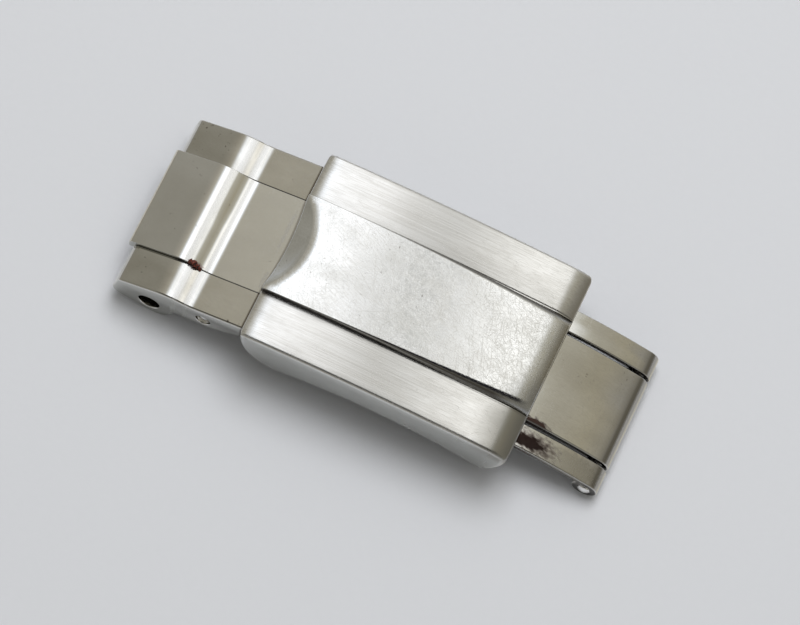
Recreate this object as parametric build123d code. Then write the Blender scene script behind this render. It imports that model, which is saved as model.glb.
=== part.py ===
from build123d import *
import math
import os

# A closed folding clasp of a three-row steel bracelet. The rigid end piece of one strand stands
# out past the thumb end of the cover, and one link of the other strand hangs at the far end.
# X runs along the bracelet from the thumb end to the link, Y across it and Z up. The origin is
# under the middle of the clasp, on the surface that it lies on. All lengths are in millimetres.

# Overall sizes
cover_length = 24.15
cover_width = 18.0
piece_reach = 11.9
link_reach = 7.75

# Fits and gaps between pieces
running_gap = 0.03
seated_gap = 0.01
piece_seam = 0.1
link_seam = 0.3
side_play = 0.15
knuckle_gap = 0.35
overrun = 1.0
corner_room = 0.98

# Cover: a roof between two side walls, slightly crowned and rolled down at both ends
left_level = 6.45
right_level = 5.82
cover_crown = 0.45
left_roll_length = 1.15
left_roll_drop = 0.06
right_roll_length = 1.3
right_roll_drop = 0.35
roof_thickness = 0.7
wall_thickness = 0.8
plan_corner_radius = 0.6
heel_radius = 3.5
wall_left_drop = 4.4
wall_right_drop = 4.37
wall_arch = 1.35
toe_start = 0.42
toe_setback = 1.75
toe_bulge = 0.45

# Raised centre of the cover, its side grooves and its thumb scoop
panel_width = 9.3
panel_rise = 0.55
panel_edge_radius = 0.35
groove_width = 0.15
groove_depth = 0.15
scoop_half_width = 4.15
scoop_length = 2.25
scoop_depth = 1.0
lip_inset = 0.3

# End piece: three rows that come out from under the cover, dip, step up and run down to a lug
centre_inset = 0.1
tuck_gap = 0.25
tuck_length = 1.85
tuck_end_drop = 1.2
seat_radius = 2.0
seat_inset = 0.4
valley_reach = 5.0
valley_level = 4.64
valley_radius = 2.6
crest_reach = 6.85
row_crest_level = 4.9
crest_radius = 2.6
row_top_setback = 0.6
row_top_level = 3.55
row_top_radius = 0.6
row_setback = 0.05
nose_level = 0.95
nose_radius = 0.9
lug_reach = 8.35
lug_radius = 1.75
lug_flat_reach = 7.0
lug_corner_radius = 1.2
neck_reach = 6.0
neck_level = 1.85
neck_radius = 0.6
belly_reach = 3.15
belly_level = 1.95
belly_radius = 2.0
row_bevel = 0.2
bar_bore_radius = 0.95
centre_crest_reach = 6.95
centre_crest_level = 5.22
centre_crest_radius = 3.6
centre_tip_level = 3.75
centre_tip_radius = 0.4
centre_plate = 1.05
pocket_reach = 6.3
pocket_radius = 0.5
seat_low_level = 1.88
seat_high_reach = 0.1
seat_high_level = 3.3
seat_end_level = 3.9

# Pins and rivets of the end piece
cross_pin_radius = 0.65
cross_pin_reach = 3.5
cross_pin_level = 3.25
catch_pin_radius = 0.35
catch_pin_inset = 0.9
catch_pin_cover = 0.35
rivet_radius = 0.45
rivet_height = 1.5
rivet_reaches = [1.5, 5.15]
rivet_spacing = 4.4

# Folding blades and their hinges
blade_thickness = 0.75
tongue_reach = 5.9
lower_blade_bulge = 0.4
middle_blade_bulge = 0.3
hinge_knuckle_radius = 1.1
hinge_pin_radius = 0.5
hinge_knuckle_width = 4.6
hinge_setback = 5.75
hinge_drop = 2.52
fold_knuckle_radius = 0.9
fold_inset = 3.75
fold_headroom = 0.1
ear_thickness = 1.1
ear_half_length = 1.05

# Spring bar that holds the link in the cover
bar_setback = 2.45
bar_drop = 3.14
boss_radius = 1.05
boss_height = 1.45
barrel_radius = 0.75
barrel_bore_radius = 0.6
barrel_collar = 0.3
barrel_end_gap = 0.35
tip_radius = 0.4
tip_head_radius = 0.55
tip_head_length = 0.85
tip_end_gap = 0.25
spring_wire_radius = 0.12
spring_end_gap = 0.02
spring_turns = 10

# Link: two outer rows and a centre, each a curled strip with a knuckle at both ends
link_centre_inset = 0.45
link_plate = 0.6
link_bar_knuckle_radius = 1.2
link_end_knuckle_radius = 1.15
link_end_slope = 17.0
link_under_bulge = 0.25
link_centre_rise = 0.3
tube_radius = 0.95
tube_wall = 0.15
end_pin_radius = 0.55

# Places worked out from the sizes above
cover_left = (piece_reach - cover_length - link_reach) / 2
cover_right = cover_left + cover_length
half_cover = cover_width / 2
half_inside = half_cover - wall_thickness
half_panel = panel_width / 2
half_piece = half_inside - side_play
half_centre = half_panel - centre_inset
half_blade = half_centre
half_knuckle = hinge_knuckle_width / 2
half_link = half_inside - boss_height - side_play
half_link_centre = half_panel - link_centre_inset
row_reach = piece_reach - row_setback
row_top_reach = piece_reach - row_top_setback
seat_level = left_level - roof_thickness - tuck_gap
fold_x = cover_left + fold_inset
fold_z = left_level - roof_thickness - fold_headroom - fold_knuckle_radius
hinge_x = cover_right - hinge_setback
hinge_z = right_level - hinge_drop
bar_x = cover_right - bar_setback
bar_z = right_level - bar_drop
end_x = cover_right + link_reach - link_end_knuckle_radius
end_z = link_end_knuckle_radius


def slab(face, low, high):
    """A side outline, drawn in x and z, made solid between two places across the clasp."""
    return extrude(Plane.XZ.offset(-high) * face, amount=high - low)


def pair(face, low, high):
    """The same slab on the near and the far side."""
    return slab(face, low, high) + slab(face, -high, -low)


def rod(x, z, radius, low, high):
    """A round bar or bore across the clasp."""
    return slab(Pos(x, z) * Circle(radius), low, high)


def block(x_low, x_high, y_low, y_high, z_low, z_high):
    size = Box(x_high - x_low, y_high - y_low, z_high - z_low)
    return Pos((x_low + x_high) / 2, (y_low + y_high) / 2, (z_low + z_high) / 2) * size


def bulged(start, end, bulge):
    """An arc that bulges to the left of the way from start to end."""
    start = Vector(start)
    end = Vector(end)
    along = (end - start).normalized()
    side = Vector(-along.Y, along.X)
    return ThreePointArc(start, (start + end) / 2 + side * bulge, end)


def rounded(points, radii):
    """A closed outline with round corners, held back where two of them would run together."""
    corners = [Vector(point) for point in points]
    takes = []
    for index, radius in enumerate(radii):
        back = corners[index - 1] - corners[index]
        ahead = corners[(index + 1) % len(corners)] - corners[index]
        takes.append(radius / math.tan(math.radians(back.get_angle(ahead) / 2)))
    fitted = []
    for index, radius in enumerate(radii):
        share = 1
        for other in (index - 1, (index + 1) % len(corners)):
            side = (corners[other] - corners[index]).length
            share = min(share, side * corner_room / max(takes[index] + takes[other], seated_gap))
        fitted.append(radius * share)
    return make_face(FilletPolyline(*points, radius=fitted, close=True))


def cover_skin():
    """The top line of the cover from its thumb end to its link end."""
    crowned = bulged(
        (cover_left, left_level + left_roll_drop),
        (cover_right, right_level + right_roll_drop),
        cover_crown,
    )
    left_share = left_roll_length / cover_length
    right_share = 1 - right_roll_length / cover_length
    left_point = crowned @ left_share
    right_point = crowned @ right_share
    middle = ThreePointArc(left_point, crowned @ ((left_share + right_share) / 2), right_point)
    left_slope = (crowned % left_share) * -1
    left_roll = TangentArc(left_point, (cover_left, left_level), tangent=left_slope)
    right_roll = TangentArc(right_point, (cover_right, right_level), tangent=crowned % right_share)
    return left_roll + middle + right_roll


skin = cover_skin()


def skin_band(low, high):
    """The side outline between two heights measured from the cover's top line."""
    left_end = Line((cover_left, left_level + low), (cover_left, left_level + high))
    right_end = Line((cover_right, right_level + low), (cover_right, right_level + high))
    return make_face((Pos(0, low) * skin) + left_end + right_end + (Pos(0, high) * skin))


def wall_outline():
    """A side wall: round heel at the thumb end, arched lower edge, slanting toe at the link end."""
    heel_z = left_level - wall_left_drop + heel_radius
    heel = CenterArc((cover_left + heel_radius, heel_z), heel_radius, 180, 90)
    heel_bottom = (cover_left + heel_radius, heel_z - heel_radius)
    toe_bottom = (cover_right - toe_setback, right_level - wall_right_drop)
    toe_top = (cover_right, right_level - toe_start)
    left_end = Line((cover_left, left_level), (cover_left, heel_z))
    bottom = bulged(heel_bottom, toe_bottom, wall_arch)
    toe = bulged(toe_top, toe_bottom, toe_bulge)
    right_end = Line((cover_right, right_level), toe_top)
    return make_face(skin + left_end + heel + bottom + toe + right_end)


def plan_block():
    """What lies inside the cover's outline seen from above, with the drawn-in thumb lip."""
    outline = RectangleRounded(cover_length, cover_width, plan_corner_radius)
    top = left_level + cover_crown + panel_rise + overrun
    body = extrude(Pos((cover_left + cover_right) / 2, 0) * outline, amount=top)
    lip_radius = (scoop_half_width**2 + lip_inset**2) / (2 * lip_inset)
    lip = Cylinder(lip_radius, top, align=(Align.CENTER, Align.CENTER, Align.MIN))
    return body - Pos(cover_left + lip_inset - lip_radius, 0) * lip


def scoop_ball():
    """The ball that hollows the thumb scoop out of the panel and the roof."""
    plan_radius = (scoop_half_width**2 + scoop_length**2) / (2 * scoop_length)
    edge_distance = plan_radius - scoop_length
    height = (plan_radius**2 - edge_distance**2 - scoop_depth**2) / (2 * scoop_depth)
    radius = math.hypot(height, plan_radius)
    top = left_level + panel_rise
    return Pos(cover_left - edge_distance, 0, top + height) * Sphere(radius)


def cover_shell():
    roof = slab(skin_band(-roof_thickness, 0), -half_cover, half_cover)
    walls = pair(wall_outline(), half_inside, half_cover)
    grooves = pair(skin_band(-groove_depth, overrun), half_panel, half_panel + groove_width)
    return ((roof + walls) & plan_block()) - grooves - scoop_ball()


def cover_centre_panel():
    """The raised middle of the cover, rounded along its two long upper edges."""
    panel = slab(skin_band(0, panel_rise), -half_panel, half_panel)
    sides = panel.edges().filter_by(lambda edge: abs(abs(edge.center().Y) - half_panel) < seated_gap)
    upper = []
    for group in sides.group_by(Axis.X):
        middle_z = sum(edge.center().Z for edge in group) / len(group)
        upper += [edge for edge in group if edge.center().Z > middle_z + panel_rise / 4]
    return (fillet(upper, panel_edge_radius) & plan_block()) - scoop_ball()


def piece_seat(reach):
    """A point of the sloping seat under the end piece that carries the lower blade."""
    share = (pocket_reach - reach) / (pocket_reach - seat_high_reach)
    return Vector(cover_left - reach, seat_low_level + (seat_high_level - seat_low_level) * share)


def end_row_outline():
    points = [
        (cover_left + tuck_length, seat_level),
        (cover_left + seat_inset, seat_level),
        (cover_left - valley_reach, valley_level),
        (cover_left - crest_reach, row_crest_level),
        (cover_left - row_top_reach, row_top_level),
        (cover_left - row_reach, nose_level),
        (cover_left - lug_reach, 0),
        (cover_left - lug_flat_reach, 0),
        (cover_left - neck_reach, neck_level),
        (cover_left - belly_reach, belly_level),
        (cover_left + tuck_length, seat_level - tuck_end_drop),
    ]
    radii = [
        neck_radius / 2,
        seat_radius,
        valley_radius,
        crest_radius,
        row_top_radius,
        nose_radius,
        lug_radius,
        lug_corner_radius,
        neck_radius,
        belly_radius,
        neck_radius / 2,
    ]
    return rounded(points, radii)


def end_row(side):
    """One outer row of the end piece, with the bores of its bar and pins."""
    low = half_centre + piece_seam
    row = slab(end_row_outline(), low, half_piece)
    top_edges = row.edges().filter_by(is_row_bevel)
    row = chamfer(top_edges, row_bevel)
    row = row - rod(cover_left - lug_reach, lug_radius, bar_bore_radius, 0, cover_width)
    row = row - rod(*cross_pin_place(), cross_pin_radius + seated_gap, 0, cover_width)
    row = row - rod(*catch_pin_place(), catch_pin_radius + seated_gap, 0, cover_width)
    return row if side > 0 else mirror(row, about=Plane.XZ)


def is_row_bevel(edge):
    """Whether an edge is on the outer side of a row, along its top between nose and cover."""
    spot = edge.center()
    outer = abs(spot.Y - half_piece) < seated_gap
    along = cover_left - row_top_reach < spot.X < cover_left
    return outer and along and spot.Z > row_top_level


def cross_pin_place():
    return (cover_left - cross_pin_reach, cross_pin_level)


def catch_pin_place():
    return (cover_left + catch_pin_inset, seat_level - catch_pin_cover - catch_pin_radius)


def end_centre():
    """The middle row, with a pocket under its tip for the first link of the strand."""
    slope = (centre_crest_level - centre_tip_level) / (piece_reach - centre_crest_reach)
    under_tip = centre_tip_level - centre_plate
    under_pocket = under_tip + slope * (piece_reach - pocket_reach)
    points = [
        (cover_left + tuck_length, seat_level),
        (cover_left + seat_inset, seat_level),
        (cover_left - valley_reach, valley_level),
        (cover_left - centre_crest_reach, centre_crest_level),
        (cover_left - piece_reach, centre_tip_level),
        (cover_left - piece_reach, under_tip),
        (cover_left - pocket_reach, under_pocket),
        (cover_left - pocket_reach, seat_low_level),
        (cover_left - seat_high_reach, seat_high_level),
        (cover_left + tuck_length, seat_end_level),
    ]
    radii = [
        neck_radius / 2,
        seat_radius,
        valley_radius,
        centre_crest_radius,
        centre_tip_radius,
        centre_tip_radius / 2,
        pocket_radius,
        0,
        0,
        neck_radius / 2,
    ]
    centre = slab(rounded(points, radii), -half_centre, half_centre)
    centre = centre - rod(*cross_pin_place(), cross_pin_radius + seated_gap, -half_piece, half_piece)
    centre = centre - rod(*catch_pin_place(), catch_pin_radius + seated_gap, -half_piece, half_piece)
    return centre - rivet_set(seated_gap)


def rivet_set(gap):
    """The four rivets under the end piece, or with a gap the holes that hold them."""
    rivets = []
    for reach in rivet_reaches:
        seat = piece_seat(reach)
        foot = seat.Y - blade_thickness - gap
        height = rivet_height + gap * 2
        body = Cylinder(rivet_radius + gap, height, align=(Align.CENTER, Align.CENTER, Align.MIN))
        for across in (-rivet_spacing / 2, rivet_spacing / 2):
            rivets.append(Pos(seat.X, across, foot) * body)
    return Compound(rivets)


def lower_blade():
    """The blade fixed under the end piece, curled round the blade hinge at the link end."""
    tongue = piece_seat(tongue_reach)
    bend = piece_seat(seat_high_reach)
    along = (bend - tongue).normalized()
    down = Vector(along.Y, -along.X) * blade_thickness
    top_end = Vector(hinge_x, hinge_z - hinge_knuckle_radius + blade_thickness)
    low_end = Vector(hinge_x, hinge_z - hinge_knuckle_radius)
    edges = Line(tongue, bend) + bulged(bend, top_end, lower_blade_bulge) + Line(top_end, low_end)
    edges = edges + bulged(bend + down, low_end, lower_blade_bulge)
    edges = edges + Line(bend + down, tongue + down) + Line(tongue + down, tongue)
    blade = slab(make_face(edges), -half_blade, half_blade)
    inner = half_knuckle + piece_seam
    notch_x = hinge_x - hinge_knuckle_radius - knuckle_gap
    notch = block(notch_x, cover_right, -inner, inner, 0, left_level)
    knuckles = pair(Pos(hinge_x, hinge_z) * Circle(hinge_knuckle_radius), inner, half_blade)
    bore = rod(hinge_x, hinge_z, hinge_pin_radius + seated_gap, -half_cover, half_cover)
    return (blade - notch) + knuckles - bore - rivet_set(seated_gap)


def middle_blade():
    """The blade between the two hinges, under the cover's roof when the clasp is shut."""
    low_start = Vector(fold_x, fold_z - fold_knuckle_radius)
    top_start = Vector(fold_x, fold_z - fold_knuckle_radius + blade_thickness)
    top_end = Vector(hinge_x, hinge_z + hinge_knuckle_radius)
    low_end = Vector(hinge_x, hinge_z + hinge_knuckle_radius - blade_thickness)
    edges = Line(low_start, top_start) + bulged(top_start, top_end, middle_blade_bulge)
    edges = edges + Line(top_end, low_end) + bulged(low_start, low_end, middle_blade_bulge)
    blade = slab(make_face(edges), -half_blade, half_blade)
    cut_x = hinge_x - hinge_knuckle_radius - knuckle_gap
    far_cut = block(cut_x, cover_right, half_knuckle, cover_width, 0, left_level)
    near_cut = mirror(far_cut, about=Plane.XZ)
    fold_knuckle = rod(fold_x, fold_z, fold_knuckle_radius, -half_blade, half_blade)
    hinge_knuckle = rod(hinge_x, hinge_z, hinge_knuckle_radius, -half_knuckle, half_knuckle)
    blade = (blade - far_cut - near_cut) + fold_knuckle + hinge_knuckle
    fold_bore = rod(fold_x, fold_z, hinge_pin_radius + running_gap, -half_cover, half_cover)
    hinge_bore = rod(hinge_x, hinge_z, hinge_pin_radius + running_gap, -half_cover, half_cover)
    return blade - fold_bore - hinge_bore


def hinge_ears():
    """Two ears brazed under the roof that hold the cover's hinge pin."""
    ear_top = left_level - roof_thickness / 2
    plate = Pos(fold_x, (fold_z + ear_top) / 2) * Rectangle(2 * ear_half_length, ear_top - fold_z)
    outline = plate + Pos(fold_x, fold_z) * Circle(ear_half_length)
    low = half_blade + side_play
    ears = pair(outline, low, low + ear_thickness)
    ears = ears - slab(skin_band(-roof_thickness, 0), -half_cover, half_cover)
    return ears - rod(fold_x, fold_z, hinge_pin_radius + seated_gap, -half_cover, half_cover)


def bar_bosses():
    """Two bosses inside the side walls that take the tips of the spring bar."""
    ring = Circle(boss_radius) - Circle(tip_radius + running_gap)
    return pair(Pos(bar_x, bar_z) * ring, half_inside - boss_height, half_inside)


def bar_barrel():
    half_length = half_link + side_play - barrel_end_gap
    bore_end = half_length - barrel_collar
    barrel = rod(bar_x, bar_z, barrel_radius, -half_length, half_length)
    barrel = barrel - rod(bar_x, bar_z, barrel_bore_radius, -bore_end, bore_end)
    return barrel - rod(bar_x, bar_z, tip_radius + running_gap, -half_cover, half_cover)


def bar_tip(side):
    """A tip of the spring bar: a head inside the barrel and a thin end in its boss."""
    head_end = half_link + side_play - barrel_end_gap - barrel_collar - running_gap
    head_start = head_end - tip_head_length
    tip = rod(bar_x, bar_z, tip_head_radius, head_start, head_end)
    tip = tip + rod(bar_x, bar_z, tip_radius, head_start, half_inside - tip_end_gap)
    return tip if side > 0 else mirror(tip, about=Plane.XZ)


def bar_spring():
    """The coil that pushes both tips out, wound along the bar inside the barrel."""
    head_end = half_link + side_play - barrel_end_gap - barrel_collar - running_gap
    half_length = head_end - tip_head_length - spring_end_gap - spring_wire_radius
    coil_radius = tip_head_radius - spring_wire_radius
    pitch = 2 * half_length / spring_turns
    start = (bar_x, -half_length, bar_z)
    coil = Helix(pitch, 2 * half_length, coil_radius, center=start, direction=(0, 1, 0))
    wire = Plane(origin=coil @ 0, z_dir=coil % 0) * Circle(spring_wire_radius)
    print("least gap between spring turns", round(pitch - 2 * spring_wire_radius, 3))
    return sweep(wire, path=coil, is_frenet=True)


def link_outline(rise):
    """A strip of the link seen from the side, curled round the bar tube and the end pin.

    Its top is one arc that runs smoothly into the round of the end knuckle.
    """
    down = Vector(math.cos(math.radians(link_end_slope)), -math.sin(math.radians(link_end_slope)))
    top_start = Vector(bar_x, bar_z + link_bar_knuckle_radius + rise)
    low_start = Vector(bar_x, bar_z + link_bar_knuckle_radius - link_plate)
    top_end = Vector(end_x, end_z) + Vector(-down.Y, down.X) * link_end_knuckle_radius
    low_end = Vector(end_x, end_z + link_end_knuckle_radius - link_plate)
    edges = Line(low_start, top_start) + TangentArc(top_end, top_start, tangent=-down)
    edges = edges + Line(top_end, low_end) + bulged(low_start, low_end, link_under_bulge)
    bar_knuckle = Pos(bar_x, bar_z) * Circle(link_bar_knuckle_radius)
    end_knuckle = Pos(end_x, end_z) * Circle(link_end_knuckle_radius)
    solid_face = make_face(edges) + bar_knuckle + end_knuckle
    bar_hole = Pos(bar_x, bar_z) * Circle(tube_radius + seated_gap)
    end_hole = Pos(end_x, end_z) * Circle(end_pin_radius + seated_gap)
    return solid_face - bar_hole - end_hole


def link_row(side):
    row = slab(link_outline(0), half_link_centre + link_seam, half_link)
    return row if side > 0 else mirror(row, about=Plane.XZ)


def link_centre():
    return slab(link_outline(link_centre_rise), -half_link_centre, half_link_centre)


def link_bar_tube():
    ring = Circle(tube_radius) - Circle(tube_radius - tube_wall)
    return slab(Pos(bar_x, bar_z) * ring, -half_link, half_link)


pieces = {
    "cover_shell": cover_shell(),
    "cover_centre_panel": cover_centre_panel(),
    "cover_hinge_ears": hinge_ears(),
    "cover_hinge_pin": rod(
        fold_x,
        fold_z,
        hinge_pin_radius,
        -half_blade - side_play - ear_thickness,
        half_blade + side_play + ear_thickness,
    ),
    "bar_bosses": bar_bosses(),
    "spring_bar_barrel": bar_barrel(),
    "spring_bar_near_tip": bar_tip(-1),
    "spring_bar_far_tip": bar_tip(1),
    "spring_bar_spring": bar_spring(),
    "middle_blade": middle_blade(),
    "lower_blade": lower_blade(),
    "blade_hinge_pin": rod(hinge_x, hinge_z, hinge_pin_radius, -half_blade, half_blade),
    "blade_rivets": rivet_set(0),
    "end_piece_far_row": end_row(1),
    "end_piece_near_row": end_row(-1),
    "end_piece_centre": end_centre(),
    "end_piece_cross_pin": rod(*cross_pin_place(), cross_pin_radius, -half_piece, half_piece),
    "catch_pin": rod(
        *catch_pin_place(),
        catch_pin_radius,
        -half_inside + running_gap,
        half_inside - running_gap,
    ),
    "link_far_row": link_row(1),
    "link_near_row": link_row(-1),
    "link_centre": link_centre(),
    "link_bar_tube": link_bar_tube(),
    "link_end_pin": rod(end_x, end_z, end_pin_radius, -half_link, half_link),
}

os.makedirs("parts", exist_ok=True)
for name, shape in pieces.items():
    export_step(shape, "parts/" + name + ".step")
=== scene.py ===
# %% [markdown]
# # Folding clasp of a link bracelet, in polished and brushed steel
# The clasp is shut and lies on pale paper. Its cover has two brushed side strips and a raised
# polished middle with a thumb scoop. A rigid three-row end piece stands out on the left, and one
# three-row link hangs on the right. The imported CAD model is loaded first, because it fixes every
# place: each surface made below takes its ends, widths and pin places from a CAD node's box.

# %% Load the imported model
import math

import bmesh
import bpy
import numpy as np
from mathutils import Matrix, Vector
from mathutils.geometry import tessellate_polygon
from numpy import concatenate as join


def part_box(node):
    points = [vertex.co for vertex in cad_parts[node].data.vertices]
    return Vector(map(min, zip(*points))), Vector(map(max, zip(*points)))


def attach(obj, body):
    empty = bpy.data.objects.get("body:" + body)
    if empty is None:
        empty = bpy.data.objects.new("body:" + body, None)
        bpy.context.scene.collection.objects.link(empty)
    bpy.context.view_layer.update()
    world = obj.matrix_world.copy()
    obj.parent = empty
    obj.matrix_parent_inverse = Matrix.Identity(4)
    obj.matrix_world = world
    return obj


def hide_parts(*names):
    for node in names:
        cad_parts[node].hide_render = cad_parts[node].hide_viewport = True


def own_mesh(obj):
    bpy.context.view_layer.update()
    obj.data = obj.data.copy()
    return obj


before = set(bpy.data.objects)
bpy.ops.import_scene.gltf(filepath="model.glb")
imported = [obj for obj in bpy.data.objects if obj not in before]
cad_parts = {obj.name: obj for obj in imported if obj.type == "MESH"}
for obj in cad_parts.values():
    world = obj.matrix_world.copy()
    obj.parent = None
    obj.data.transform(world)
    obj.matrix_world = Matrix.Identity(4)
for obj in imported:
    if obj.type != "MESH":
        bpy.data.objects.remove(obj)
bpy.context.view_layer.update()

# %% [markdown]
# Blender works in metres, but a clasp is easier to think about in millimetres. So every shape
# below is in millimetres until its mesh is made. Ends, widths and pin places could be typed in
# again, but here they are measured on the CAD nodes, so that the two models can't drift apart.

# %% Places read from the CAD nodes, in millimetres
MM = 0.001


def box_mm(node):
    """Lowest and highest corner of a CAD node in millimetres."""
    low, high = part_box(node)
    return np.array(low) / MM, np.array(high) / MM


def pin_place(node):
    """Centre in x and z, radius and half length of a round pin that lies across the clasp."""
    low, high = box_mm(node)
    middle = (low + high) / 2
    return middle[0], middle[2], (high[0] - low[0]) / 2, high[1]


shell_low, shell_high = box_mm("cover_shell")
cover_left = shell_low[0]
cover_right = shell_high[0]
half_cover = shell_high[1]
half_panel = box_mm("cover_centre_panel")[1][1]
row_low, row_high = box_mm("end_piece_far_row")
row_inner = row_low[1]
half_piece = row_high[1]
centre_low, centre_high = box_mm("end_piece_centre")
half_centre = centre_high[1]
piece_reach = cover_left - centre_low[0]
half_link_centre = box_mm("link_centre")[1][1]
link_row_inner = box_mm("link_far_row")[0][1]
half_link = box_mm("link_far_row")[1][1]
bar_x, bar_z, tube_radius = pin_place("link_bar_tube")[:3]
end_x, end_z, end_pin_radius, end_pin_half = pin_place("link_end_pin")
cross_x, cross_z, cross_radius, cross_half = pin_place("end_piece_cross_pin")
LIP_INSET = 0.3
SCOOP_HALF_WIDTH = 4.15
lip_radius = (SCOOP_HALF_WIDTH**2 + LIP_INSET**2) / (2 * LIP_INSET)
lip_centre = cover_left + LIP_INSET - lip_radius
print("cover from", round(cover_left, 2), "to", round(cover_right, 2), "half width", half_cover)

# %% [markdown]
# ## Curves in the side view
# Every part of the clasp is the same shape all the way across, more or less: an outline seen from
# the side, carried across. So the first tools draw such outlines: an arc given by its bulge, and
# corners joined by straight runs with a radius at each corner. A curve object could hold them
# too, but worked out as points they can be measured, cut and joined exactly.

# %% Arcs and rounded outlines
CORNER_STEPS = 14
RUN_STOPS = (0.02, 0.08, 0.25, 0.5, 0.75, 0.92, 0.98)


def unit(vectors):
    """Each vector divided by its own length."""
    return vectors / np.linalg.norm(vectors, axis=-1, keepdims=True)


def on_circle(centre, radius, turn):
    """Points of a circle: centre + radius x (cos, sin) of each turn."""
    return np.asarray(centre) + radius * np.stack([np.cos(turn), np.sin(turn)], 1)


def arc_of(start, end, bulge):
    """Centre, radius, way along, way to the left and half the angle of an arc given by its bulge.

    Its middle stands bulge to the left of the chord from start to end, so the radius is
    (half chord squared + bulge squared) / (2 x bulge).
    """
    start, end = np.asarray(start, float), np.asarray(end, float)
    half = np.linalg.norm(end - start) / 2
    along = (end - start) / (2 * half)
    left = np.array([-along[1], along[0]])
    radius = (half**2 + bulge**2) / (2 * bulge)
    return (start + end) / 2 + left * (bulge - radius), radius, along, left, math.asin(half / radius)


def bulged(start, end, bulge, steps):
    """Points along that arc, at equal angles a: centre + radius x (sin a along + cos a left)."""
    centre, radius, along, left, reach = arc_of(start, end, bulge)
    turn = np.linspace(-reach, reach, steps)[:, None]
    return centre + radius * (np.sin(turn) * along + np.cos(turn) * left)


def rounded_outline(corners, radii):
    """A closed outline through corners, each rounded by its radius.

    An arc touches both sides of its corner at radius / tan(half the corner's angle). Its points
    are a blend of the first and the last spoke, by sin((1 - s) w) / sin w and sin(s w) / sin w.
    The straight runs between the arcs get a few points, most of them near their ends, so that
    the shading of an arc doesn't creep into the flat beside it.
    """
    corners = np.asarray(corners, float)
    radii = np.asarray(radii, float)[:, None]
    back = unit(np.roll(corners, 1, 0) - corners)
    ahead = unit(np.roll(corners, -1, 0) - corners)
    half = np.arccos((back * ahead).sum(1, keepdims=True)) / 2
    centre = corners + unit(back + ahead) * radii / np.sin(half)
    first = corners + back * radii / np.tan(half) - centre
    last = corners + ahead * radii / np.tan(half) - centre
    sweep = math.pi - 2 * half
    share = np.linspace(0, 1, CORNER_STEPS)[None, :]
    from_first = (np.sin((1 - share) * sweep) / np.sin(sweep))[..., None]
    from_last = (np.sin(share * sweep) / np.sin(sweep))[..., None]
    arcs = centre[:, None] + from_first * first[:, None] + from_last * last[:, None]
    stops = np.array(RUN_STOPS)[None, :, None]
    run_start = arcs[:, -1:]
    run_end = np.roll(arcs[:, :1], -1, 0)
    runs = run_start + (run_end - run_start) * stops
    return join([arcs, runs], 1).reshape(-1, 2)


def counter_clockwise(outline):
    """The outline, turned round where its signed area is below zero."""
    x, z = outline.T
    area = (x * np.roll(z, -1) - np.roll(x, -1) * z).sum() / 2
    return outline if area > 0 else outline[::-1]


print("arc middle", bulged((0, 0), (2, 0), 0.5, 3)[1])

# %% [markdown]
# ## From an outline to a solid with soft edges
# A real edge is never sharp: the polishing wheel leaves a small radius that catches the light.
# The outline is repeated at stations across the clasp. Near each side the stations follow a
# quarter circle: the outline draws in by radius x (1 - sin t) while it moves across by
# radius x (1 - cos t). A Bevel modifier could round these edges, but it would also round the
# outline's own corners, which have radii of their own.

# %% Soft-edged slabs and round holes
QUARTER = np.linspace(0, math.pi / 2, 6)
ROUND = np.linspace(0, 2 * math.pi, 48, endpoint=False)
MIRROR = np.array([1, -1, 1])
SIDES = (("far", 1), ("near", -1))


def soft_slab(outline, low, high, low_radius, high_radius):
    """Rings of a slab between y = low and y = high, as an array of stations x points x 3.

    A radius is one number, or a pair: how far the edge draws in along x and along z. At each
    point the ring moves in against the outline's normal, scaled by that pair.
    """
    outline = counter_clockwise(outline)
    way = unit(np.roll(outline, -1, 0) - np.roll(outline, 1, 0))
    normal = np.stack([way[:, 1], -way[:, 0]], 1)
    ends = ((low, low_radius, QUARTER, 1), (high, high_radius, QUARTER[::-1], -1))
    rings = []
    for place, radius, turn, inwards in ends:
        draw = normal * np.broadcast_to(radius, 2)
        depth = np.linalg.norm(draw, axis=1)
        flat = outline - (1 - np.sin(turn))[:, None, None] * draw
        across = place + inwards * (1 - np.cos(turn))[:, None] * depth
        rings.append(np.stack([flat[..., 0], across, flat[..., 1]], 2))
    return join(rings)


def rings_round(x, z, size, across):
    """Rings round an axis across the clasp: x + size cos a, place across, z + size sin a."""
    side = across * np.ones(len(ROUND))
    return np.stack([x + size * np.cos(ROUND), side, z + size * np.sin(ROUND)], 2)


def round_hole(x, z, radius, low, high, rim):
    """Rings of a round hole, opened at both sides by a rim: radius + rim x (1 - sin t)."""
    turn = join([QUARTER, QUARTER[::-1]])[:, None]
    deep = rim * (1 - np.cos(turn))
    across = np.where(np.arange(len(turn))[:, None] < len(QUARTER), low + deep, high - deep)
    return rings_round(x, z, radius + rim * (1 - np.sin(turn)), across)


print("stations at each soft edge", len(QUARTER), "points round a hole", len(ROUND))

# %% [markdown]
# ## From rings to a piece
# Neighbouring rings are joined by four-sided faces, and the two ends are closed with flat caps,
# which may have holes for pins. Holes could be cut with a Boolean modifier, but that leaves
# slivers round the rim, and a polished face mirrors each of them. Here a hole is a ring from the
# start. A number is kept at each point, so that a material can paint a highlight along the edge:
# 0 on the outer face, 1 just inside it, and 0 again from 0.15 mm away.

# %% Meshes from rings
EDGE_HIGHLIGHT_BAND = (0.0, 0.015, 0.15)
JOIN_MM, THIN_MM = 0.0002, 0.0001
SHARP_DEGREES = 40


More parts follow.
